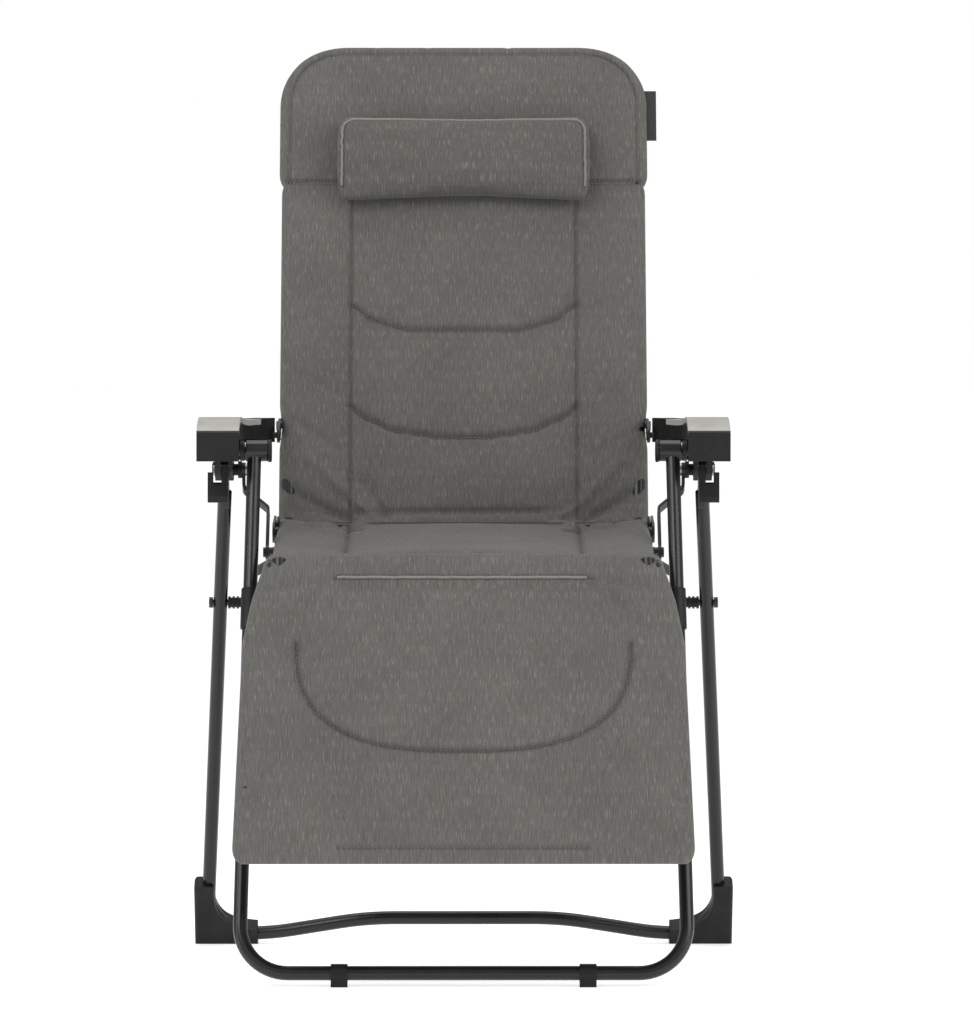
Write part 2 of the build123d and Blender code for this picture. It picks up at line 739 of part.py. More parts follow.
# Seat
rail_end = seat_length - 24.0
boss_place = 70.0
boss_radius = 8.0
seat_bracket_width = 26.0
seat_bar_places = (30.0, rail_end - 20.0)
knee_plate_reach = 60.0
knee_plate_width = 20.0
knee_boss_radius = 7.0

with BuildPart() as seat_rail:
    with BuildLine(seat_plane) as rail_path:
        Line((frame_half_width, -tube_overrun), (frame_half_width, rail_end))
    round_tube(rail_path.wires()[0], frame_radius, tube_wall)
    cross_disc(right_tube, seat_hip_pivot, pin_radius + press_fit, mode=Mode.SUBTRACT)
    cross_disc(right_tube, hanger_pivot, pin_radius + press_fit, mode=Mode.SUBTRACT)
save_pair(seat_rail.part, "seat_rail")

with BuildPart() as seat_cross_bars:
    for place in seat_bar_places:
        bar_point = along(seat_hip_pivot, seat_angle, place)
        cross_disc(frame_inside, bar_point, bar_radius)
        cross_disc(frame_width, bar_point, bar_radius - tube_wall, mode=Mode.SUBTRACT)
save(seat_cross_bars.part, "seat_cross_bars")

# Bracket outside each rail: reaches back past the hip hinge to the rear link
with BuildPart() as seat_bracket:
    boss_point = along(seat_hip_pivot, seat_angle, boss_place)
    cross_slot(bracket_lane, boss_point, seat_hip_pivot, seat_bracket_width)
    cross_slot(bracket_lane, seat_hip_pivot, rear_link_pivot, seat_bracket_width)
    cross_disc((frame_half_width + frame_radius, bracket_lane[0]), boss_point, boss_radius)
    cross_disc(right_plate, seat_hip_pivot, pin_radius + press_fit, mode=Mode.SUBTRACT)
    cross_disc(right_plate, rear_link_pivot, pin_radius + press_fit, mode=Mode.SUBTRACT)
save_pair(seat_bracket.part, "seat_bracket")

with BuildPart() as seat_pins:
    cross_disc((tube_pin_start, bracket_lane[1]), seat_hip_pivot, pin_radius)
    cross_disc((bracket_lane[0], open_pivot_end), rear_link_pivot, pin_radius)
    cross_disc((tube_pin_start, open_pivot_end), hanger_pivot, pin_radius)
    cross_disc((frame_half_width + frame_radius, open_pivot_end), hanger_pivot, head_radius)
    mirror(about=Plane.YZ)
save(seat_pins.part, "seat_pins")

with BuildPart() as knee_plates:
    plate_foot = along(knee_pivot, seat_angle + 180, knee_plate_reach)
    cross_slot(hip_plate_lane, knee_pivot, plate_foot, knee_plate_width)
    cross_disc((frame_half_width + frame_radius, hip_plate_lane[0]), plate_foot, knee_boss_radius)
    cross_disc(right_plate, knee_pivot, pin_radius + press_fit, mode=Mode.SUBTRACT)
    mirror(about=Plane.YZ)
save(knee_plates.part, "knee_plates")

with BuildPart() as knee_pins:
    cross_disc((tube_pin_start, hip_plate_lane[1]), knee_pivot, pin_radius)
    cross_disc((hip_plate_lane[1], hip_plate_lane[1] + 2.5), knee_pivot, head_radius)
    mirror(about=Plane.YZ)
save(knee_pins.part, "knee_pins")

seat_pad_span = (44.0, 314.0)

with BuildPart() as seat_pad:
    with BuildSketch(seat_plane.offset(-pad_half_thickness)):
        with Locations((0, sum(seat_pad_span) / 2)):
            Rectangle(2 * pad_half_width, seat_pad_span[1] - seat_pad_span[0])
    extrude(amount=2 * pad_half_thickness)
save(seat_pad.part, "seat_pad")

# Leg rest
flare_start = 16.0
flare_end = 78.0
flare_half_width = 255.0
knee_overrun = 11.0
flare_bend = 60.0
legrest_corner = 55.0
legrest_bends = [flare_bend, flare_bend, legrest_corner, legrest_corner, flare_bend, flare_bend]

with BuildPart() as legrest_frame:
    with BuildLine(legrest_plane) as legrest_path:
        FilletPolyline(
            (-frame_half_width, -knee_overrun),
            (-frame_half_width, flare_start),
            (-flare_half_width, flare_end),
            (-legrest_half_bottom, legrest_length),
            (legrest_half_bottom, legrest_length),
            (flare_half_width, flare_end),
            (frame_half_width, flare_start),
            (frame_half_width, -knee_overrun),
            radius=legrest_bends,
        )
    round_tube(legrest_path.wires()[0], frame_radius, tube_wall)
    cross_disc(frame_width, knee_pivot, pin_radius + running_fit, mode=Mode.SUBTRACT)
save(legrest_frame.part, "legrest_frame")

legrest_pad_top = 30.0
legrest_pad_flare = (238.0, 80.0)
legrest_pad_wide = (252.0, 310.0)
legrest_pad_foot = (200.0, 364.0)

with BuildPart() as legrest_pad:
    with BuildSketch(legrest_plane.offset(-pad_half_thickness)):
        Polygon(
            (-pad_half_width, legrest_pad_top),
            (pad_half_width, legrest_pad_top),
            legrest_pad_flare,
            legrest_pad_wide,
            legrest_pad_foot,
            (-legrest_pad_foot[0], legrest_pad_foot[1]),
            (-legrest_pad_wide[0], legrest_pad_wide[1]),
            (-legrest_pad_flare[0], legrest_pad_flare[1]),
            align=None,
        )
    extrude(amount=2 * pad_half_thickness)
save(legrest_pad.part, "legrest_pad")

# Plastic clips round the leg rest tube that hold the cover's edge
clip_length = 41.0
clip_places = (160.0, 278.0)
clip_shell = 2.5

with BuildPart() as legrest_clips:
    for place in clip_places:
        share = (place - flare_end) / (legrest_length - flare_end)
        half = flare_half_width + (legrest_half_bottom - flare_half_width) * share
        with BuildLine(legrest_plane) as clip_path:
            Line((half - 1.0, place - clip_length / 2), (half + 1.0, place + clip_length / 2))
        round_tube(clip_path.wires()[0], frame_radius + clip_shell + 0.3, clip_shell)
    mirror(about=Plane.YZ)
save(legrest_clips.part, "legrest_clips")
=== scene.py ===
import json
import math
import random

import bpy
import numpy as np
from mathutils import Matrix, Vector
from mathutils.kdtree import KDTree

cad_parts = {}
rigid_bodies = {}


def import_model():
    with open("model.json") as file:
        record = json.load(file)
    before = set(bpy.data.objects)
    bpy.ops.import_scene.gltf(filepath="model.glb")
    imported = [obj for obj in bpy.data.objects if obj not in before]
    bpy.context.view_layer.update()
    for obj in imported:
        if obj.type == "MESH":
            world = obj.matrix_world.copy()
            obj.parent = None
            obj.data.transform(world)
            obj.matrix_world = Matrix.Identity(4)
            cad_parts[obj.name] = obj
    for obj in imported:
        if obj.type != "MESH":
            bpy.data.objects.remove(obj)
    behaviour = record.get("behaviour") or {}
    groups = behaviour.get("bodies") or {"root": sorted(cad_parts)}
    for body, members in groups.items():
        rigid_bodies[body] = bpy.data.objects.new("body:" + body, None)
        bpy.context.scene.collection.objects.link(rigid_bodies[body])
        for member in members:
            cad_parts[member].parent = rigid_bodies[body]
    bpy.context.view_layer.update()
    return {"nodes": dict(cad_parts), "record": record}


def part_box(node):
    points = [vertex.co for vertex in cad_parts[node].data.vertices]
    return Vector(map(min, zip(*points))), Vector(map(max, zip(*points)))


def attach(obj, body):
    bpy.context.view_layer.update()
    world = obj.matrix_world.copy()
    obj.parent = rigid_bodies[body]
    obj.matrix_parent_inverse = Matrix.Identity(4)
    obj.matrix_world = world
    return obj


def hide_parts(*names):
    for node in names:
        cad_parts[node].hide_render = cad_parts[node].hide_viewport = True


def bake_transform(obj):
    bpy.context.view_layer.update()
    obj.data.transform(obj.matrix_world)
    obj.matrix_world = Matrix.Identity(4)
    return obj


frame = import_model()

record = frame["record"]
nodes = frame["nodes"]
joints = {joint["name"]: joint for joint in record["behaviour"]["joints"]}

# Places are (y, z) pairs in the chair's side plane, read from the frame
tubeRadius = 0.0095


def pivot(name):
    return np.array(joints[name]["pos_m"][1:], float)


hip = pivot("hip_recline")
seatHip = pivot("hip_fold")
knee = pivot("knee_fold")
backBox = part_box("back_frame")
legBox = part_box("legrest_frame")
backEnd = np.array([backBox[1][1] - tubeRadius, backBox[1][2] - tubeRadius])
legEnd = np.array([legBox[0][1] + tubeRadius, legBox[0][2] + tubeRadius])
frameHalf = backBox[1][0] - tubeRadius


def toward(start, end, distance):
    step = end - start
    return start + step / np.linalg.norm(step) * distance


# Materials

def linear(code):
    parts = [int(code[i:i + 2], 16) / 255 for i in (1, 3, 5)]
    return tuple(p / 12.92 if p <= 0.04045 else ((p + 0.055) / 1.055) ** 2.4 for p in parts) + (1.0,)


def addNode(tree, kind, sockets=None, **props):
    node = tree.nodes.new(kind)
    for name, value in props.items():
        setattr(node, name, value)
    for name, value in (sockets or {}).items():
        if isinstance(value, bpy.types.NodeSocket):
            tree.links.new(value, node.inputs[name])
        else:
            node.inputs[name].default_value = value
    return node


def startMaterial(name, constants):
    material = bpy.data.materials.new(name)
    material.use_nodes = True
    tree = material.node_tree
    shader = tree.nodes["Principled BSDF"]
    for socket, value in constants.items():
        shader.inputs[socket].default_value = value
    return material, tree, shader


# Yarn-dyed polyester canvas: light and dark yarns run down the cloth and show as broken vertical streaks
canvasLook = {
    "yarn": "#5A5955",
    "lightYarn": "#7A7873",
    "darkYarn": "#454441",
    "yarnWidth": 0.0012,     # a bundle of yarns; one yarn is too fine to show
    "yarnRun": 0.026,
    "grain": 0.0012,
    "fade": 0.11,
    "sheen": 0.10,
    "bump": 0.0005,
}


def wovenCanvas(name, look):
    material, tree, shader = startMaterial(name, {
        "Sheen Weight": look["sheen"],
        "Sheen Roughness": 0.45,
        "Specular IOR Level": 0.2,
    })
    weave = addNode(tree, "ShaderNodeAttribute", attribute_name="weave").outputs["Vector"]
    across, down = 1 / look["yarnWidth"], 1 / look["yarnRun"]
    streakPlace = addNode(tree, "ShaderNodeMapping", {"Vector": weave, "Scale": (across, down, 0)})
    streak = addNode(tree, "ShaderNodeTexNoise", {
        "Vector": streakPlace.outputs[0], "Scale": 1.0, "Detail": 3.0, "Roughness": 0.65})
    darkPart = addNode(tree, "ShaderNodeMapRange", {
        0: streak.outputs[0], 1: 0.38, 2: 0.56, 3: 0.55, 4: 0.0})
    lightPlace = addNode(tree, "ShaderNodeMapping", {
        "Vector": weave, "Scale": (across * 0.9, down * 1.7, 0), "Location": (31.0, 7.0, 0)})
    lightNoise = addNode(tree, "ShaderNodeTexNoise", {
        "Vector": lightPlace.outputs[0], "Scale": 1.0, "Detail": 2.0, "Roughness": 0.6})
    lightPart = addNode(tree, "ShaderNodeMapRange", {
        0: lightNoise.outputs[0], 1: 0.55, 2: 0.72, 3: 0.0, 4: 0.75})
    grainPlace = addNode(tree, "ShaderNodeMapping", {
        "Vector": weave, "Scale": (1 / look["grain"], 0.7 / look["grain"], 0)})
    grain = addNode(tree, "ShaderNodeTexNoise", {
        "Vector": grainPlace.outputs[0], "Scale": 1.0, "Detail": 2.0, "Roughness": 0.7})
    fadeNoise = addNode(tree, "ShaderNodeTexNoise", {
        "Vector": weave, "Scale": 1 / look["fade"], "Detail": 2.0})
    dark = addNode(tree, "ShaderNodeMix", {
        0: darkPart.outputs[0], 6: linear(look["yarn"]), 7: linear(look["darkYarn"])}, data_type="RGBA")
    light = addNode(tree, "ShaderNodeMix", {
        0: lightPart.outputs[0], 6: dark.outputs[2], 7: linear(look["lightYarn"])}, data_type="RGBA")
    grainTone = addNode(tree, "ShaderNodeMapRange", {0: grain.outputs[0], 1: 0.3, 2: 0.7, 3: 0.86, 4: 1.12})
    fadeTone = addNode(tree, "ShaderNodeMapRange", {
        0: fadeNoise.outputs[0], 1: 0.3, 2: 0.7, 3: 0.93, 4: 1.06})
    # painted shade: the cloth colour is darkened along the sewn channels, where shade falls in the recess
    seamShadeFac = addNode(tree, "ShaderNodeAttribute", attribute_name="paintedSeamShade").outputs["Fac"]
    seamShadeTone = addNode(tree, "ShaderNodeMapRange", {0: seamShadeFac, 1: 0.0, 2: 1.0, 3: 1.0, 4: 0.62})
    tone = addNode(tree, "ShaderNodeMath", {
        0: grainTone.outputs[0], 1: fadeTone.outputs[0]}, operation="MULTIPLY")
    tone = addNode(tree, "ShaderNodeMath", {
        0: tone.outputs[0], 1: seamShadeTone.outputs[0]}, operation="MULTIPLY")
    colour = addNode(tree, "ShaderNodeVectorMath", {
        0: light.outputs[2], 3: tone.outputs[0]}, operation="SCALE")
    tree.links.new(colour.outputs[0], shader.inputs["Base Color"])
    rough = addNode(tree, "ShaderNodeMapRange", {0: grain.outputs[0], 1: 0.2, 2: 0.8, 3: 0.78, 4: 0.95})
    tree.links.new(rough.outputs[0], shader.inputs["Roughness"])
    height = addNode(tree, "ShaderNodeMath", {0: streak.outputs[0], 1: grain.outputs[0]}, operation="ADD")
    bump = addNode(tree, "ShaderNodeBump", {
        "Height": height.outputs[0], "Strength": 0.5, "Distance": look["bump"]})
    tree.links.new(bump.outputs[0], shader.inputs["Normal"])
    return material


# Black powder coat on steel tube: sprayed and baked, so a tight orange peel and an even semi-gloss
tubeCoat = {"colour": "#0F0F0F", "rough": (0.24, 0.34), "peel": 0.0022, "depth": 0.00003, "wear": "#1D1C1B"}
# The same coat on flat bar, laid on thinner and duller
flatCoat = {"colour": "#0F0E0E", "rough": (0.34, 0.46), "peel": 0.0016, "depth": 0.00003, "wear": "#24231F"}
# Bolts and rivets, blackened after pressing: thinner and a little shinier than the coat
boltBlack = {"colour": "#141312", "rough": (0.28, 0.44), "peel": 0.0009, "depth": 0.00002, "wear": "#2E2B27"}


def powderCoat(name, look):
    material, tree, shader = startMaterial(name, {
        "IOR": 1.5,
        "Specular IOR Level": 0.35,
        "Coat Weight": 0.15,
        "Coat Roughness": 0.18,
    })
    place = addNode(tree, "ShaderNodeTexCoord").outputs["Object"]
    peel = addNode(tree, "ShaderNodeTexNoise", {"Vector": place, "Scale": 1 / look["peel"], "Detail": 2.0})
    cloud = addNode(tree, "ShaderNodeTexNoise", {"Vector": place, "Scale": 22.0, "Detail": 3.0})
    tint = addNode(tree, "ShaderNodeMapRange", {0: cloud.outputs[0], 1: 0.4, 2: 0.75, 3: 0.0, 4: 0.35})
    colour = addNode(tree, "ShaderNodeMix", {
        0: tint.outputs[0], 6: linear(look["colour"]), 7: linear(look["wear"])}, data_type="RGBA")
    low, high = look["rough"]
    rough = addNode(tree, "ShaderNodeMapRange", {0: cloud.outputs[0], 1: 0.3, 2: 0.7, 3: low, 4: high})
    bump = addNode(tree, "ShaderNodeBump", {
        "Height": peel.outputs[0], "Strength": 0.6, "Distance": look["depth"]})
    tree.links.new(colour.outputs[2], shader.inputs["Base Color"])
    tree.links.new(rough.outputs[0], shader.inputs["Roughness"])
    tree.links.new(bump.outputs[0], shader.inputs["Normal"])
    return material


# Glass-filled nylon, injection moulded: spark-eroded grain, matte, greyer where it is rubbed
nylonLook = {"colour": "#0C0C0C", "worn": "#171716", "rough": (0.42, 0.58), "grain": 0.0009, "depth": 0.00006}
# ABS, injection moulded with a satin grain, light grey
absLook = {"colour": "#A3A19C", "worn": "#969389", "rough": (0.32, 0.42), "grain": 0.0007, "depth": 0.00003}


def mouldedPlastic(name, look):
    material, tree, shader = startMaterial(name, {"IOR": 1.49, "Specular IOR Level": 0.3})
    place = addNode(tree, "ShaderNodeTexCoord").outputs["Object"]
    grain = addNode(tree, "ShaderNodeTexVoronoi", {"Vector": place, "Scale": 1 / look["grain"]})
    rub = addNode(tree, "ShaderNodeTexNoise", {"Vector": place, "Scale": 35.0, "Detail": 4.0})
    tint = addNode(tree, "ShaderNodeMapRange", {0: rub.outputs[0], 1: 0.42, 2: 0.72, 3: 0.0, 4: 0.8})
    colour = addNode(tree, "ShaderNodeMix", {
        0: tint.outputs[0], 6: linear(look["colour"]), 7: linear(look["worn"])}, data_type="RGBA")
    low, high = look["rough"]
    rough = addNode(tree, "ShaderNodeMapRange", {0: rub.outputs[0], 1: 0.3, 2: 0.7, 3: high, 4: low})
    bump = addNode(tree, "ShaderNodeBump", {
        "Height": grain.outputs[0], "Strength": 0.5, "Distance": look["depth"]})
    tree.links.new(colour.outputs[2], shader.inputs["Base Color"])
    tree.links.new(rough.outputs[0], shader.inputs["Roughness"])
    tree.links.new(bump.outputs[0], shader.inputs["Normal"])
    return material


# Zinc-plated steel: barrel plated, so a soft grey metal with a faint blotchy haze
zincLook = {"colour": "#B4B5B4", "haze": "#8C8E8F", "rough": (0.26, 0.42), "spot": 0.004}


def platedSteel(name, look):
    material, tree, shader = startMaterial(name, {"Metallic": 1.0})
    place = addNode(tree, "ShaderNodeTexCoord").outputs["Object"]
    haze = addNode(tree, "ShaderNodeTexNoise", {"Vector": place, "Scale": 1 / look["spot"], "Detail": 4.0})
    colour = addNode(tree, "ShaderNodeMix", {
        0: haze.outputs[0], 6: linear(look["colour"]), 7: linear(look["haze"])}, data_type="RGBA")
    low, high = look["rough"]
    rough = addNode(tree, "ShaderNodeMapRange", {0: haze.outputs[0], 1: 0.3, 2: 0.7, 3: low, 4: high})
    bump = addNode(tree, "ShaderNodeBump", {"Height": haze.outputs[0], "Strength": 0.3, "Distance": 0.00003})
    tree.links.new(colour.outputs[2], shader.inputs["Base Color"])
    tree.links.new(rough.outputs[0], shader.inputs["Roughness"])
    tree.links.new(bump.outputs[0], shader.inputs["Normal"])
    return material


# Woven polyester tape: ribs across its width
tapeLook = {"colour": "#0E0E0E", "rib": "#232222", "pitch": 0.0022}


def wovenTape(name, look):
    material, tree, shader = startMaterial(name, {"Roughness": 0.7, "Sheen Weight": 0.2})
    place = addNode(tree, "ShaderNodeTexCoord").outputs["Object"]
    ribs = addNode(tree, "ShaderNodeTexWave", {
        "Vector": place, "Scale": 1 / look["pitch"] / 3.2, "Distortion": 0.6, "Detail": 1.0},
        wave_type="BANDS", bands_direction="Z")
    colour = addNode(tree, "ShaderNodeMix", {
        0: ribs.outputs["Fac"], 6: linear(look["colour"]), 7: linear(look["rib"])}, data_type="RGBA")
    bump = addNode(tree, "ShaderNodeBump", {
        "Height": ribs.outputs["Fac"], "Strength": 0.5, "Distance": 0.0003})
    tree.links.new(colour.outputs[2], shader.inputs["Base Color"])
    tree.links.new(bump.outputs[0], shader.inputs["Normal"])
    return material


# Bonded polyester sewing thread and the bias tape of the piping: same yarns as the canvas, pulled tight
threadLook = {"colour": "#65635E", "shade": "#4A4844", "twist": 0.0012}


def twistedThread(name, look):
    material, tree, shader = startMaterial(name, {"Sheen Weight": 0.15, "Roughness": 0.62})
    place = addNode(tree, "ShaderNodeTexCoord").outputs["Object"]
    twist = addNode(tree, "ShaderNodeTexNoise", {"Vector": place, "Scale": 1 / look["twist"], "Detail": 2.0})
    colour = addNode(tree, "ShaderNodeMix", {
        0: twist.outputs[0], 6: linear(look["colour"]), 7: linear(look["shade"])}, data_type="RGBA")
    bump = addNode(tree, "ShaderNodeBump", {"Height": twist.outputs[0], "Strength": 0.4, "Distance": 0.0003})
    tree.links.new(colour.outputs[2], shader.inputs["Base Color"])
    tree.links.new(bump.outputs[0], shader.inputs["Normal"])
    return material


canvas = wovenCanvas("yarn dyed polyester canvas", canvasLook)
pillowCanvas = wovenCanvas("yarn dyed polyester canvas, pillow", {**canvasLook, "yarn": "#54534F"})
tubeMaterial = powderCoat("powder coated steel tube", tubeCoat)
flatMaterial = powderCoat("powder coated steel bar", flatCoat)
boltMaterial = powderCoat("blackened steel", boltBlack)
nylon = mouldedPlastic("moulded nylon", nylonLook)
armPlastic = mouldedPlastic("moulded ABS", absLook)
zinc = platedSteel("zinc plated steel", zincLook)
tape = wovenTape("woven polyester tape", tapeLook)
thread = twistedThread("polyester thread", threadLook)
piping = twistedThread("polyester piping", {"colour": "#7B7973", "shade": "#5A5853", "twist": 0.002})
print("materials made")

slotMaterials = {
    "powder_coated_tube": tubeMaterial,
    "powder_coated_flat": flatMaterial,
    "black_plastic": nylon,
    "arm_cover": armPlastic,
    "zinc_steel": zinc,
    "black_steel": boltMaterial,
    "label": tape,
}
for part in record["subparts"]:
    look = slotMaterials.get(part["material_slot"])
    if look:
        mesh = nodes[part["node"]].data
        mesh.materials.clear()
        mesh.materials.append(look)
print("frame painted")


# Soft goods

def clearSelection():
    for thing in bpy.context.view_layer.objects:
        thing.select_set(False)


def smoothLine(corners, step=0.004, rounds=70):
    line = [corners[0]]
    for start, end in zip(corners, corners[1:]):
        count = max(2, round(np.linalg.norm(end - start) / step))
        line.extend(start + (end - start) * k / count for k in range(1, count + 1))
    line = np.array(line)
    for _ in range(rounds):
        line[1:-1] = (line[:-2] + 2 * line[1:-1] + line[2:]) / 4
    return line


class Path:
    # a line in the side plane, with its distances and front normals
    def __init__(self, line):
        self.line = line
        steps = np.linalg.norm(np.diff(line, axis=0), axis=1)
        self.far = np.concatenate([[0], np.cumsum(steps)])
        self.length = self.far[-1]

    def at(self, s):
        y = np.interp(s, self.far, self.line[:, 0])
        z = np.interp(s, self.far, self.line[:, 1])
        return np.stack([y, z], -1)

    def front(self, s):
        ahead = self.at(np.minimum(s + 0.004, self.length)) - self.at(np.maximum(s - 0.004, 0))
        ahead /= np.linalg.norm(ahead, axis=-1, keepdims=True)
        return np.stack([ahead[..., 1], -ahead[..., 0]], -1)

    def nearest(self, point):
        return self.far[np.argmin(np.linalg.norm(self.line - point, axis=1))]


def paddedShell(name, path, halfWidth, halfThick, spacing=0.0055, sag=None):
    # closed shell along the path: a flat oval section at each step, with rounded ends
    ends = np.array([0.0, 0.12, 0.4, 0.8, 1.3]) * halfThick
    rows = max(4, round((path.length - 2 * ends[-1]) / spacing))
    middle = np.linspace(ends[-1], path.length - ends[-1], rows)
    stations = np.concatenate([ends[:-1], middle, path.length - ends[:-1][::-1]])
    flats = round(2 * frameHalf / spacing)
    arc = np.linspace(math.pi / 2, -math.pi / 2, 8)[1:-1]
    t = np.linspace(-1, 1, flats + 1)
    sectionX = np.concatenate([t, 1 + 0 * arc, t[::-1], -1 + 0 * arc])
    sectionN = np.concatenate([1 + 0 * t, np.sin(arc), -1 + 0 * t, -np.sin(arc)])
    sectionOut = np.concatenate([0 * t, np.cos(arc), 0 * t, -np.cos(arc)])
    points, weave = [], []
    for s in stations:
        inFromEnd = min(s, path.length - s)
        thin = math.sqrt(max(0.02, 1 - max(0, 1 - inFromEnd / (1.3 * halfThick)) ** 2))
        thick = halfThick * thin
        wide = halfWidth(s) - halfThick
        centre, normal = path.at(s), path.front(s)
        x = sectionX * wide + sectionOut * thick
        n = sectionN * thick
        if sag:
            n = n - sag(s) * np.clip(1 - np.abs(x / wide) ** 4, 0, 1)
        points.append(np.stack([x, centre[0] + n * normal[0], centre[1] + n * normal[1]], -1))
        weave.append(np.stack([x, 0 * x + s, sectionN], -1))
    count = len(sectionX)
    points, weave = np.concatenate(points), np.concatenate(weave)
    faces = []
    for row in range(len(stations) - 1):
        for k in range(count):
            a, b = row * count + k, row * count + (k + 1) % count
            faces.append((a, a + count, b + count, b))
    side = len(arc)
    for base, flip in ((0, False), ((len(stations) - 1) * count, True)):
        for k in range(flats):
            quad = (base + k, base + k + 1, base + 2 * flats + side - k, base + 2 * flats + side + 1 - k)
            faces.append(quad[::-1] if flip else quad)
        rightArc = [base + flats + k for k in range(side + 2)]
        leftArc = [base + 2 * flats + side + 1 + k for k in range(side + 1)] + [base]
        faces.extend(tuple(loop[::-1] if flip else loop) for loop in (rightArc, leftArc))
    mesh = bpy.data.meshes.new(name)
    mesh.from_pydata(points.tolist(), [], faces)
    mesh.attributes.new("weave", "FLOAT_VECTOR", "POINT").data.foreach_set("vector", weave.ravel())
    piece = bpy.data.objects.new(name, mesh)
    bpy.context.scene.collection.objects.link(piece)
    clearSelection()
    bpy.context.view_layer.objects.active = piece
    piece.select_set(True)
    bpy.ops.object.mode_set(mode="EDIT")
    bpy.ops.mesh.select_all(action="SELECT")
    bpy.ops.mesh.normals_make_consistent(inside=False)
    bpy.ops.object.mode_set(mode="OBJECT")
    return piece


def readWeave(piece):
    values = np.empty(len(piece.data.vertices) * 3)
    piece.data.attributes["weave"].data.foreach_get("vector", values)
    return values.reshape(-1, 3)


def readPoints(piece):
    values = np.empty(len(piece.data.vertices) * 3)
    piece.data.vertices.foreach_get("co", values)
    return values.reshape(-1, 3)


def readNormals(piece):
    values = np.empty(len(piece.data.vertices) * 3)
    piece.data.vertex_normals.foreach_get("vector", values)
    return values.reshape(-1, 3)


def writePoints(piece, points):
    piece.data.vertices.foreach_set("co", points.ravel())
    piece.data.update()


def seamDistance(flat, seam):
    # distance of each cloth point from a seam drawn on the flat cloth
    seam = np.array(seam)
    best = np.full(len(flat), 1.0)
    for start, end in zip(seam, seam[1:]):
        edge = end - start
        along = np.clip(((flat - start) @ edge) / max(edge @ edge, 1e-12), 0, 1)
        best = np.minimum(best, np.linalg.norm(flat - start - along[:, None] * edge, axis=1))
    return best


# How the padding swells, and where the cloth is held while it does
padding = {
    "steps": 20,
    "mass": 0.25,
    "tension": 12,
    "compression": 10,
    "shear": 4,
    "bending": 0.25,
    "growth": 0.09,          # share by which the cloth may grow
}
hold = {"seam": 0.0035, "side": 0.222, "fade": 0.010, "underside": 0.6}


def inflate(piece, pinned, grown, pressure, cap):
    # air pressure swells the padding between the seams, which stay put
    before = readPoints(piece)
    for label, weights in (("pinned", pinned), ("grown", grown)):
        group = piece.vertex_groups.new(name=label)
        for level in np.unique(np.round(weights, 1)):
            if level > 0:
                chosen = np.nonzero(np.round(weights, 1) == level)[0].tolist()
                group.add(chosen, float(level), "REPLACE")
    clearSelection()
    bpy.context.view_layer.objects.active = piece
    piece.select_set(True)
    modifier = piece.modifiers.new("padding", "CLOTH")
    cloth = modifier.settings
    cloth.quality = 4
    cloth.mass = padding["mass"]
    cloth.tension_stiffness = padding["tension"]
    cloth.compression_stiffness = padding["compression"]
    cloth.shear_stiffness = padding["shear"]
    cloth.bending_stiffness = padding["bending"]
    cloth.use_pressure = True
    cloth.uniform_pressure_force = pressure
    cloth.vertex_group_mass = "pinned"
    cloth.vertex_group_shrink = "grown"
    cloth.shrink_max = -padding["growth"]
    cloth.effector_weights.gravity = 0
    for step in range(1, padding["steps"] + 1):
        bpy.context.scene.frame_set(step)
    bpy.ops.object.modifier_apply(modifier=modifier.name)
    bpy.context.scene.frame_set(1)
    moved = readPoints(piece) - before
    reach = np.linalg.norm(moved, axis=1, keepdims=True)
    writePoints(piece, before + moved * np.minimum(1, cap / np.maximum(reach, 1e-9)))
    piece.vertex_groups.clear()


def subdivide(piece):
    clearSelection()
    bpy.context.view_layer.objects.active = piece
    piece.select_set(True)
    modifier = piece.modifiers.new("finer", "SUBSURF")
    modifier.levels = 1
    modifier.render_levels = 1
    bpy.ops.object.modifier_apply(modifier=modifier.name)
    bpy.ops.object.shade_smooth()


def pressSeams(piece, seams, folds, puckerSeed, puckerDepth=0.0011):
    # sewn channels, listed folds and the small puckers that a lockstitch gathers beside it
    points, weave, normals = readPoints(piece), readWeave(piece), readNormals(piece)
    flat = weave[:, :2]
    front = np.clip(weave[:, 2] * 3, 0, 1)
    drop = np.zeros(len(points))
    paintedSeamShade = np.zeros(len(points))
    chance = random.Random(puckerSeed)
    for seam, depth, width in seams:
        distance = seamDistance(flat, seam)
        near = np.exp(-(distance / width) ** 2)
        drop += depth * near
        paintedSeamShade = np.maximum(paintedSeamShade, np.exp(-(distance / (width * 0.7)) ** 2))
        close = np.nonzero(distance < 0.04)[0]
        seamArray = np.array(seam)
        for start, end in zip(seamArray, seamArray[1:]):
            edge = end - start
            length = np.linalg.norm(edge)
            for _ in range(int(length / 0.011)):
                place = start + edge * chance.random()
                turn = math.atan2(edge[1], edge[0]) + math.pi / 2 + chance.uniform(-0.5, 0.5)
                reach = chance.uniform(0.010, 0.030)
                tip = place + reach * chance.choice((-1, 1)) * np.array([math.cos(turn), math.sin(turn)])
                ridge = seamDistance(flat[close], [place, tip])
                drop[close] += puckerDepth * chance.uniform(-0.7, 1) * np.exp(-(ridge / 0.0032) ** 2)
    for x1, s1, x2, s2, depth, width in folds:
        distance = seamDistance(flat, [(x1, s1), (x2, s2)])
        drop += depth * np.exp(-(distance / width) ** 2)
    writePoints(piece, points - normals * (drop * front)[:, None])
    # painted shade: a mask that peaks on the seams, which the canvas material uses to darken the cloth in the
    # channels
    shade = piece.data.attributes.new("paintedSeamShade", "FLOAT", "POINT")
    shade.data.foreach_set("value", (paintedSeamShade * front).astype(np.float32))


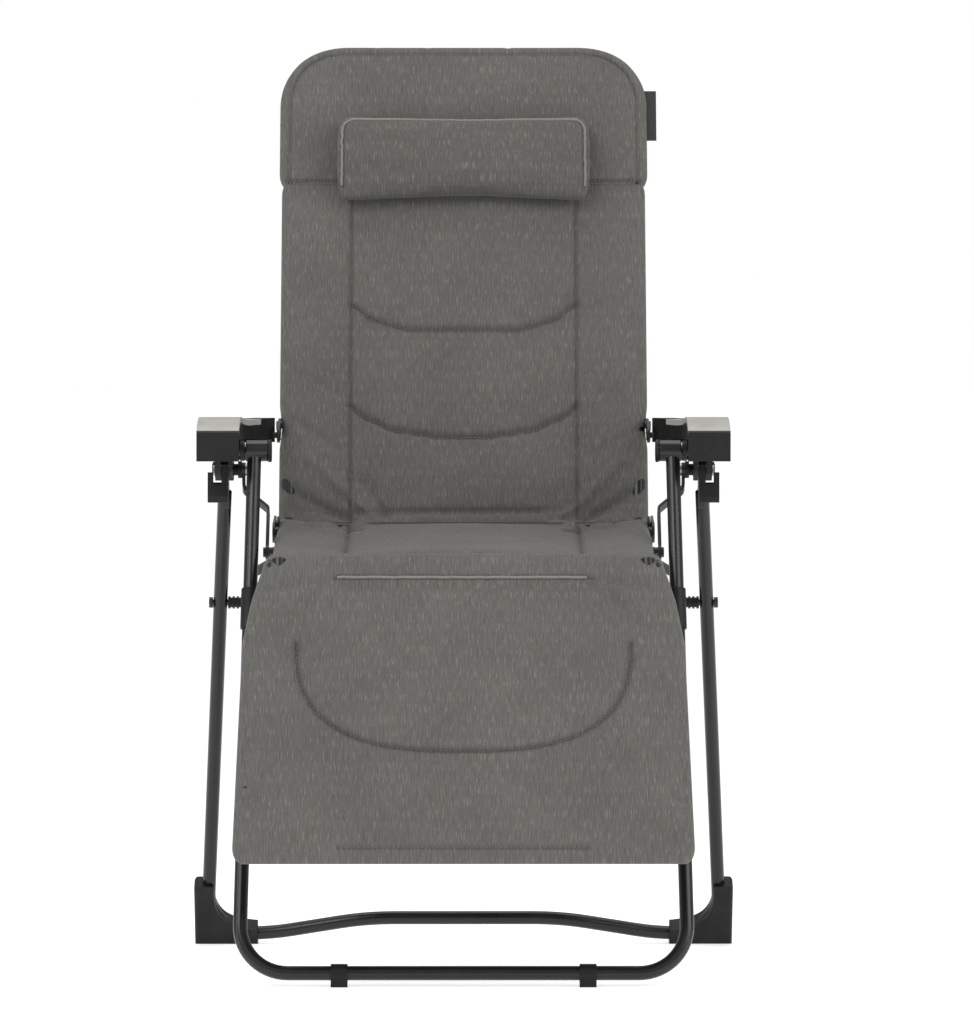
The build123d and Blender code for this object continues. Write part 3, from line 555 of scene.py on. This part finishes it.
class Surface:
    # finds the front of a finished cover from a point on its flat cloth
    def __init__(self, piece):
        weave = readWeave(piece)
        self.points, self.normals = readPoints(piece), readNormals(piece)
        self.chosen = np.nonzero(weave[:, 2] > 0.5)[0]
        self.tree = KDTree(len(self.chosen))
        for row, index in enumerate(self.chosen):
            self.tree.insert((weave[index, 0], weave[index, 1], 0), int(index))
        self.tree.balance()

    def at(self, x, s):
        found = self.tree.find_n((x, s, 0), 5)
        weights = np.array([1 / (hit[2] + 1e-5) for hit in found])
        weights /= weights.sum()
        rows = [hit[1] for hit in found]
        normal = weights @ self.normals[rows]
        return weights @ self.points[rows], normal / np.linalg.norm(normal)


def evenSteps(seam, step):
    seam = np.array(seam, float)
    far = np.concatenate([[0], np.cumsum(np.linalg.norm(np.diff(seam, axis=0), axis=1))])
    places = np.arange(step / 2, far[-1], step)
    return np.stack([np.interp(places, far, seam[:, k]) for k in (0, 1)], -1)


stitch = {"length": 0.0042, "pitch": 0.0060, "radius": 0.00055}


def sewStitches(name, surface, seams):
    # one stitch is shaped once, then laid along every seam
    clearSelection()
    bpy.ops.mesh.primitive_uv_sphere_add(segments=6, ring_count=5, radius=1)
    model = bpy.context.object
    bpy.ops.object.mode_set(mode="EDIT")
    bpy.ops.transform.resize(value=(stitch["radius"], stitch["radius"], stitch["length"] / 2))
    bpy.ops.object.mode_set(mode="OBJECT")
    shape = readPoints(model)
    shapeFaces = [tuple(face.vertices) for face in model.data.polygons]
    bpy.data.objects.remove(model)
    points, faces = [], []
    for seam in seams:
        places = evenSteps(seam, stitch["pitch"])
        for here, ahead in zip(places, places[1:]):
            spot, normal = surface.at(*here)
            nextSpot, _ = surface.at(*ahead)
            along = nextSpot - spot
            along /= np.linalg.norm(along)
            side = np.cross(normal, along)
            side /= np.linalg.norm(side)
            up = np.cross(along, side)
            base = len(points)
            spot = spot + normal * stitch["radius"] * 0.5
            points.extend((spot + p[0] * side + p[1] * up + p[2] * along).tolist() for p in shape)
            faces.extend(tuple(base + k for k in face) for face in shapeFaces)
    mesh = bpy.data.meshes.new(name)
    mesh.from_pydata(points, [], faces)
    piece = bpy.data.objects.new(name, mesh)
    bpy.context.scene.collection.objects.link(piece)
    mesh.shade_smooth()
    mesh.materials.append(thread)
    return piece


def layPiping(name, spots, radius):
    # a bevelled curve through the spots, made into a mesh
    curve = bpy.data.curves.new(name, "CURVE")
    curve.dimensions = "3D"
    curve.bevel_depth = radius
    curve.bevel_resolution = 3
    curve.use_fill_caps = True
    spline = curve.splines.new("POLY")
    spline.points.add(len(spots) - 1)
    for point, spot in zip(spline.points, spots):
        point.co = (*spot, 1)
    piece = bpy.data.objects.new(name, curve)
    bpy.context.scene.collection.objects.link(piece)
    clearSelection()
    bpy.context.view_layer.objects.active = piece
    piece.select_set(True)
    bpy.ops.object.convert(target="MESH")
    piece = bpy.context.object
    piece.data.shade_smooth()
    piece.data.materials.clear()
    piece.data.materials.append(piping)
    return piece


def finishCover(piece, material):
    piece.data.materials.clear()
    piece.data.materials.append(material)


# Back cover: from under the hood down to the hip and forward along the hip plates
backCover = {
    "halfThick": 0.0125,
    "halfWidth": 0.2445,
    "hoodLap": 0.012,        # how far it goes up inside the hood
    "cap": 0.011,
    "pressure": 4.0,
}
hoodStart = 0.4955           # along the back from the hip
backUp = (backEnd - hip) / np.linalg.norm(backEnd - hip)
stripMiddle = (hip + seatHip) / 2
backLine = smoothLine([hip + backUp * (hoodStart + backCover["hoodLap"]), hip + backUp * 0.012, stripMiddle])
backPath = Path(backLine)


def onBack(up):
    # distance down the back cover of a place that far up from the hip
    return backPath.nearest(hip + backUp * up)


def backHalf(s):
    return backCover["halfWidth"] - 0.0035 * max(0, 1 - abs(s - onBack(0.155)) / 0.03)


quiltHalf = 0.150
upperSmile = [(quiltHalf * t, onBack(0.291 + 0.038 * abs(t) ** 4)) for t in np.linspace(-1, 1, 25)]
lowerSmile = [(quiltHalf * t, onBack(0.141 + 0.042 * abs(t) ** 3)) for t in np.linspace(-1, 1, 25)]
leftChannel = [(-quiltHalf, onBack(0.49)), (-quiltHalf, onBack(0.012))]
rightChannel = [(quiltHalf, onBack(0.49)), (quiltHalf, onBack(0.012))]

backPiece = paddedShell("backCover", backPath, backHalf, backCover["halfThick"])
weave = readWeave(backPiece)
flat, front = weave[:, :2], weave[:, 2]
backLines = (upperSmile, lowerSmile, leftChannel, rightChannel)
seamNear = np.min([seamDistance(flat, seam) for seam in backLines], axis=0)
pinned = np.where(seamNear < hold["seam"], 1.0, 0.0)
pinned = np.maximum(pinned, np.clip((np.abs(flat[:, 0]) - hold["side"]) / hold["fade"], 0, 1))
pinned = np.maximum(pinned, np.where(flat[:, 1] < 0.02, 1.0, 0.0))
pinned = np.maximum(pinned, np.where(front < 0, hold["underside"], 0.0))
hipNear = np.clip(1 - np.abs(flat[:, 1] - onBack(0.02)) / 0.07, 0, 1)
sideNear = np.clip(1 - np.abs(np.abs(flat[:, 0]) - 0.19) / 0.05, 0, 1)
grown = np.clip(0.2 + 0.8 * hipNear + 0.5 * sideNear, 0, 1) * (front > 0)
inflate(backPiece, pinned, grown, backCover["pressure"], backCover["cap"])
subdivide(backPiece)
hipLow, hipHigh = onBack(0.005), onBack(0.075)
backFolds = [
    (-0.24, hipHigh, -0.15, hipLow, 0.007, 0.008),
    (-0.20, hipHigh - 0.03, -0.12, hipLow - 0.01, -0.005, 0.007),
    (-0.13, hipHigh, -0.10, hipLow, 0.004, 0.007),
    (0.24, hipHigh, 0.16, hipLow, 0.007, 0.008),
    (0.21, hipHigh - 0.03, 0.13, hipLow - 0.005, -0.005, 0.007),
    (-0.16, hipLow - 0.012, 0.10, hipLow - 0.016, 0.003, 0.006),
    (-0.235, onBack(0.24), -0.17, onBack(0.20), 0.002, 0.006),
    (-0.235, onBack(0.17), -0.165, onBack(0.12), 0.0022, 0.006),
    (0.235, onBack(0.36), 0.17, onBack(0.32), 0.002, 0.006),
    (0.235, onBack(0.15), 0.165, onBack(0.11), 0.0022, 0.006),
    (-0.23, onBack(0.40), -0.16, onBack(0.43), 0.0018, 0.006),
]
backSeams = [(upperSmile, 0.0045, 0.0045), (lowerSmile, 0.0045, 0.0045),
             (leftChannel, 0.0022, 0.0035), (rightChannel, 0.0022, 0.0035)]
pressSeams(backPiece, backSeams, backFolds, puckerSeed=11)
finishCover(backPiece, canvas)
backSurface = Surface(backPiece)
backThread = sewStitches("backStitching", backSurface, [upperSmile, lowerSmile])
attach(backThread, "back")
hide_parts("back_pad")
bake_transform(backPiece)
print("back cover made")

# Hood: a sleeve over the top of the back frame, with a gusset round its edge
hood = {"halfThick": 0.0155, "halfWidth": 0.2480, "corner": 0.086, "cap": 0.008, "gusset": 0.014}
hoodTop = np.linalg.norm(backEnd - hip) + tubeRadius + 0.0015
hoodPath = Path(smoothLine([hip + backUp * hoodTop, hip + backUp * hoodStart], rounds=0))


def hoodHalf(s):
    inCorner = max(0.0, hood["corner"] - s)
    return hood["halfWidth"] - hood["corner"] + math.sqrt(max(1e-6, hood["corner"] ** 2 - inCorner ** 2))


hoodPiece = paddedShell("headHood", hoodPath, hoodHalf, hood["halfThick"])


def hoodEdge(inset, count=22):
    # a line that follows the hood's outline, inset all round
    radius = hood["corner"] - inset
    middleX = hood["halfWidth"] - hood["corner"]
    angles = np.linspace(math.pi, math.pi / 2, count)
    left = [(-middleX + radius * math.cos(a), hood["corner"] - radius * math.sin(a)) for a in angles]
    right = [(-x, s) for x, s in left[::-1]]
    return [(left[0][0], hoodPath.length - 0.004)] + left + right + [(right[-1][0], hoodPath.length - 0.004)]


gussetSeam = hoodEdge(hood["gusset"])
hemSeam = [(-0.24, hoodPath.length - 0.009), (0.24, hoodPath.length - 0.009)]
weave = readWeave(hoodPiece)
flat, front = weave[:, :2], weave[:, 2]
pinned = np.where(seamDistance(flat, gussetSeam) < 0.004, 1.0, 0.0)
pinned = np.maximum(pinned, np.clip((np.abs(flat[:, 0]) - 0.228) / 0.010, 0, 1))
pinned = np.maximum(pinned, np.where(flat[:, 1] > hoodPath.length - 0.014, 1.0, 0.0))
pinned = np.maximum(pinned, np.where(front < 0, hold["underside"], 0.0))
grown = 0.25 * (front > 0)
inflate(hoodPiece, pinned, grown, 3.0, hood["cap"])
subdivide(hoodPiece)
hoodFolds = [
    (-0.21, 0.16, -0.17, 0.185, 0.0015, 0.006),
    (0.22, 0.15, 0.18, 0.18, 0.0015, 0.006),
    (-0.20, 0.05, -0.12, 0.035, 0.0012, 0.008),
]
pressSeams(hoodPiece, [(gussetSeam, 0.0028, 0.0030), (hemSeam, 0.0012, 0.0025)], hoodFolds, puckerSeed=5)
finishCover(hoodPiece, canvas)
hoodSurface = Surface(hoodPiece)
hoodThread = sewStitches("hoodStitching", hoodSurface, [hemSeam])
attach(hoodThread, "back")
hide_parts("head_pad")
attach(hoodPiece, "back")
print("hood made")

# Seat cover: from the hip plates to just behind the knee, sagging between the rails
seatCover = {"halfThick": 0.0125, "sag": 0.013, "cap": 0.012}
kneeLap = 0.045
seatEnd = toward(knee, seatHip, kneeLap - 0.014)
seatPath = Path(smoothLine([toward(stripMiddle, hip, 0.006), seatHip, seatEnd]))


def seatHalf(s):
    return 0.2425 + 0.0065 * np.clip((s - seatPath.length + 0.05) / 0.05, 0, 1)


def seatSag(s):
    return seatCover["sag"] * math.sin(math.pi * min(1, max(0, (s + 0.05) / (seatPath.length + 0.05)))) ** 0.7


seatPiece = paddedShell("seatCover", seatPath, seatHalf, seatCover["halfThick"], sag=seatSag)
weave = readWeave(seatPiece)
flat, front = weave[:, :2], weave[:, 2]
seatChannels = [[(x, 0.03), (x, seatPath.length - 0.01)] for x in (-quiltHalf, quiltHalf)]
seamNear = np.min([seamDistance(flat, seam) for seam in seatChannels], axis=0)
pinned = np.where(seamNear < hold["seam"], 1.0, 0.0)
pinned = np.maximum(pinned, np.clip((np.abs(flat[:, 0]) - hold["side"]) / hold["fade"], 0, 1))
pinned = np.maximum(pinned, np.where(front < 0, hold["underside"], 0.0))
grown = np.clip(0.35 + np.clip(1 - flat[:, 1] / 0.07, 0, 1), 0, 1) * (front > 0)
inflate(seatPiece, pinned, grown, 4.0, seatCover["cap"])
subdivide(seatPiece)
seatFolds = [
    (-0.23, 0.02, -0.14, 0.09, 0.007, 0.009),
    (0.23, 0.02, 0.14, 0.10, 0.007, 0.009),
    (-0.20, 0.10, -0.12, 0.05, -0.005, 0.009),
    (0.19, 0.11, 0.12, 0.04, -0.006, 0.010),
    (-0.10, 0.03, 0.10, 0.035, 0.003, 0.007),
]
pressSeams(seatPiece, [(seam, 0.003, 0.004) for seam in seatChannels], seatFolds, puckerSeed=23)
finishCover(seatPiece, canvas)
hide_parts("seat_pad")
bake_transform(seatPiece)
print("seat cover made")

# Leg cover: over the knee and down to the bar of the leg rest, flaring with the tube
legCover = {
    "halfThick": 0.0145,
    "kneeHalf": 0.2525,
    "flareHalf": 0.2760,
    "endHalf": 0.2855,
    "cap": 0.013,
    "pastBar": 0.005,        # how far it wraps past the bar of the leg rest
}
legDown = (legEnd - knee) / np.linalg.norm(legEnd - knee)
legFoot = legEnd + legDown * (tubeRadius + legCover["pastBar"])
legPath = Path(smoothLine([toward(knee, seatHip, kneeLap), knee, legFoot], rounds=25))
kneeAt = legPath.nearest(knee)


def legHalfWidth(s):
    down = [kneeAt - 0.05, kneeAt, kneeAt + 0.045, kneeAt + 0.10, legPath.length]
    half = [0.2485, legCover["kneeHalf"], 0.266, legCover["flareHalf"], legCover["endHalf"]]
    return float(np.interp(s, down, half))


legPiece = paddedShell("legCover", legPath, legHalfWidth, legCover["halfThick"])
uHalf, uTop, uDepth, uPower = 0.208, kneeAt + 0.105, 0.143, 2.7
uSeam = []
for angle in np.linspace(0, math.pi, 41):
    c, s = math.cos(angle), math.sin(angle)
    uSeam.append((uHalf * math.copysign(abs(c) ** (2 / uPower), c), uTop + uDepth * s ** (2 / uPower)))
hemAt = legPath.length - 0.0165
legHem = [(-0.155, hemAt), (0.155, hemAt)]
pipeAt = kneeAt + 0.017
pipeSeam = [(-0.162, pipeAt), (0.162, pipeAt)]
# folds that fan out from the ends of the piping: where each ends and how deep it is
fanEnds = ((0.245, 0.030, 0.004), (0.250, 0.062, -0.003), (0.232, 0.085, 0.0035), (0.205, 0.100, -0.002))
fans = [
    (side * 0.165, pipeAt + 0.004, side * x, kneeAt + down, depth, 0.006)
    for side in (-1, 1)
    for x, down, depth in fanEnds
]
weave = readWeave(legPiece)
flat, front = weave[:, :2], weave[:, 2]
seamNear = np.minimum(seamDistance(flat, uSeam), seamDistance(flat, pipeSeam))
pinned = np.where(seamNear < hold["seam"], 1.0, 0.0)
edge = np.array([legHalfWidth(s) for s in flat[:, 1]]) - np.abs(flat[:, 0])
pinned = np.maximum(pinned, np.clip((0.024 - edge) / 0.010, 0, 1))
pinned = np.maximum(pinned, np.where(flat[:, 1] > legPath.length - 0.03, 1.0, 0.0))
pinned = np.maximum(pinned, np.where(front < 0, hold["underside"], 0.0))
kneeNear = np.clip(1 - np.abs(flat[:, 1] - kneeAt - 0.03) / 0.07, 0, 1)
kneeNear = kneeNear * np.clip((np.abs(flat[:, 0]) - 0.12) / 0.06, 0, 1)
grown = np.clip(0.2 + kneeNear, 0, 1) * (front > 0)
inflate(legPiece, pinned, grown, 4.0, legCover["cap"])
subdivide(legPiece)
legFolds = fans + [
    (-0.27, legPath.length - 0.09, -0.20, legPath.length - 0.03, 0.003, 0.012),
    (-0.25, legPath.length - 0.14, -0.21, legPath.length - 0.09, -0.002, 0.012),
    (0.27, legPath.length - 0.08, 0.21, legPath.length - 0.05, 0.003, 0.010),
    (-0.16, pipeAt + 0.010, 0.16, pipeAt + 0.010, 0.0025, 0.006),
]
legSeams = [(uSeam, 0.0042, 0.0042), (legHem, 0.0015, 0.0028), (pipeSeam, 0.002, 0.003)]
pressSeams(legPiece, legSeams, legFolds, puckerSeed=31)
finishCover(legPiece, canvas)
legSurface = Surface(legPiece)
legThread = sewStitches("legStitching", legSurface, [uSeam, legHem])
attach(legThread, "leg_rest")
kneeSpots = []
for x, s in evenSteps(pipeSeam, 0.008):
    spot, normal = legSurface.at(x, s)
    kneeSpots.append(spot + normal * 0.0012)
kneePiping = layPiping("kneePiping", kneeSpots, 0.0019)
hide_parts("legrest_pad")
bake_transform(legPiece)
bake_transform(kneePiping)
print("leg cover made")

# Head pillow: a bolster between two end seams, held against the hood
pillow = {"halfHeight": 0.060, "halfDepth": 0.025, "corner": 0.020, "cap": 0.008, "pipe": 0.0020}
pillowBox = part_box("head_pillow")
pillowCentre = np.array([(pillowBox[0][1] + pillowBox[1][1]) / 2, (pillowBox[0][2] + pillowBox[1][2]) / 2])
pillowHalf = pillowBox[1][0]
backFront = np.array([-backUp[1], backUp[0]])


def pillowShape(name):
    # rows of flat ovals across the chair, smaller towards both ends
    columns, ring = 62, 44
    across = np.linspace(-1, 1, columns)
    points, weave = [], []
    for t in across:
        inEnd = max(0.0, abs(t) * pillowHalf - (pillowHalf - pillow["corner"])) / pillow["corner"]
        tall = pillow["halfHeight"] - pillow["corner"] * (1 - math.sqrt(max(0.0, 1 - inEnd ** 2.2)))
        deep = pillow["halfDepth"] * math.sqrt(max(0.03, 1 - inEnd ** 2.4))
        angles = np.linspace(0, 2 * math.pi, ring, endpoint=False)
        up = tall * np.sign(np.sin(angles)) * np.abs(np.sin(angles)) ** 0.9
        out = deep * np.cos(angles)
        spot = pillowCentre + np.outer(up, backUp) + np.outer(out, backFront)
        points.append(np.stack([0 * up + t * pillowHalf, spot[:, 0], spot[:, 1]], -1))
        weave.append(np.stack([0 * up + t * pillowHalf, -up, np.cos(angles)], -1))
    faces = []
    for row in range(columns - 1):
        for k in range(ring):
            a, b = row * ring + k, row * ring + (k + 1) % ring
            faces.append((a, b, b + ring, a + ring))
    half = ring // 2
    for base in (0, (columns - 1) * ring):
        for k in range(1, half - 1):
            faces.append((base + k, base + k + 1, base + ring - k - 1, base + ring - k))
        faces.append((base, base + 1, base + ring - 1))
        faces.append((base + half - 1, base + half, base + half + 1))
    mesh = bpy.data.meshes.new(name)
    mesh.from_pydata(np.concatenate(points).tolist(), [], faces)
    woven = mesh.attributes.new("weave", "FLOAT_VECTOR", "POINT")
    woven.data.foreach_set("vector", np.concatenate(weave).ravel())
    piece = bpy.data.objects.new(name, mesh)
    bpy.context.scene.collection.objects.link(piece)
    return piece


pillowPiece = pillowShape("headPillow")
clearSelection()
bpy.context.view_layer.objects.active = pillowPiece
pillowPiece.select_set(True)
bpy.ops.object.mode_set(mode="EDIT")
bpy.ops.mesh.select_all(action="SELECT")
bpy.ops.mesh.normals_make_consistent(inside=False)
bpy.ops.object.mode_set(mode="OBJECT")
weave = readWeave(pillowPiece)
pinned = np.where(np.abs(weave[:, 0]) > pillowHalf - 0.004, 1.0, 0.0)
grown = 0.3 * (np.abs(weave[:, 0]) > pillowHalf - 0.04)
inflate(pillowPiece, pinned, grown, 4.0, pillow["cap"])
subdivide(pillowPiece)


def pillowEdge(inset):
    # the outline of the front panel: up one side, round the upper corners and down the other
    side, top = pillowHalf - inset, pillow["halfHeight"] - inset
    radius = pillow["corner"]
    spots = [(-side, -top + 0.006)]
    angles = np.linspace(math.pi, math.pi / 2, 10)
    spots += [(-side + radius + radius * math.cos(a), top - radius + radius * math.sin(a)) for a in angles]
    return spots + [(-x, up) for x, up in spots[::-1]]


pillowSeam = [(x, -up) for x, up in pillowEdge(0.007)]
pillowFolds = [
    (-0.150, 0.03, -0.110, 0.02, 0.0016, 0.006),
    (0.152, 0.02, 0.115, 0.01, 0.0016, 0.006),
    (-0.155, -0.03, -0.125, -0.02, 0.0014, 0.006),
]
pressSeams(pillowPiece, [(pillowSeam, 0.0014, 0.0030)], pillowFolds, puckerSeed=3, puckerDepth=0.0008)
finishCover(pillowPiece, pillowCanvas)
pillowSurface = Surface(pillowPiece)
pillowSpots = []
for x, s in evenSteps(pillowSeam, 0.005):
    spot, normal = pillowSurface.at(x, s)
    pillowSpots.append(spot + normal * 0.0012)
pillowPiping = layPiping("pillowPiping", pillowSpots, pillow["pipe"])
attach(pillowPiping, "back")
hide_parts("head_pillow")
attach(pillowPiece, "back")
print("pillow made")


# Floor, light and camera

def paleFloor():
    material, tree, shader = startMaterial("pale studio floor", {
        "Roughness": 0.45,
        "Emission Color": linear("#FCFDFF"),
        "Emission Strength": 0.52,
    })
    place = addNode(tree, "ShaderNodeTexCoord").outputs["Object"]
    cloud = addNode(tree, "ShaderNodeTexNoise", {"Vector": place, "Scale": 2.0})
    tone = addNode(tree, "ShaderNodeMix", {
        0: cloud.outputs[0], 6: linear("#FAFAFA"), 7: linear("#F4F5F6")}, data_type="RGBA")
    tree.links.new(tone.outputs[2], shader.inputs["Base Color"])
    return material


clearSelection()
bpy.ops.mesh.primitive_plane_add(size=900, location=(0, 0, 0))
floor = bpy.context.object
floor.name = "floor"
floor.data.materials.append(paleFloor())

world = bpy.data.worlds.new("white studio")
world.use_nodes = True
backdrop = world.node_tree.nodes["Background"]
backdrop.inputs["Color"].default_value = (1, 1, 1, 1)
# the backdrop is white to the camera and dimmer to the chair
seen = addNode(world.node_tree, "ShaderNodeLightPath").outputs["Is Camera Ray"]
glow = addNode(world.node_tree, "ShaderNodeMapRange", {0: seen, 1: 0.0, 2: 1.0, 3: 0.55, 4: 1.0})
world.node_tree.links.new(glow.outputs[0], backdrop.inputs["Strength"])
bpy.context.scene.world = world

softboxes = {
    "keyBox": {"place": (-2.2, -3.2, 3.4), "size": (2.2, 2.2), "power": 75},
    "fillBox": {"place": (2.6, -2.8, 2.4), "size": (2.0, 2.0), "power": 45},
    "topBox": {"place": (0, 0.8, 4.0), "size": (2.6, 2.6), "power": 45},
    "leftStrip": {"place": (-3.4, -1.6, 1.3), "size": (0.25, 2.6), "power": 22},
    "rightStrip": {"place": (3.4, -1.6, 1.3), "size": (0.25, 2.6), "power": 22},
}
aim = Vector((0, 0, 0.6))
for name, box in softboxes.items():
    light = bpy.data.lights.new(name, "AREA")
    light.shape = "RECTANGLE"
    light.size, light.size_y = box["size"]
    light.energy = box["power"]
    lamp = bpy.data.objects.new(name, light)
    lamp.location = box["place"]
    lamp.rotation_euler = (aim - lamp.location).to_track_quat("-Z", "Y").to_euler()
    bpy.context.scene.collection.objects.link(lamp)

shot = {"distance": 8.07, "height": 0.7515, "focal": 219.7, "tiltDown": 1.18, "panRight": 0.215}
camera = bpy.data.cameras.new("camera")
camera.lens = shot["focal"]
camera.sensor_width = 36
camera.clip_end = 1000
cameraObject = bpy.data.objects.new("camera", camera)
cameraObject.location = (0, -shot["distance"], shot["height"])
cameraObject.rotation_euler = (math.radians(90 - shot["tiltDown"]), 0, math.radians(-shot["panRight"]))
bpy.context.scene.collection.objects.link(cameraObject)
bpy.context.scene.camera = cameraObject
bpy.context.scene.view_settings.view_transform = "Standard"
print("studio set")
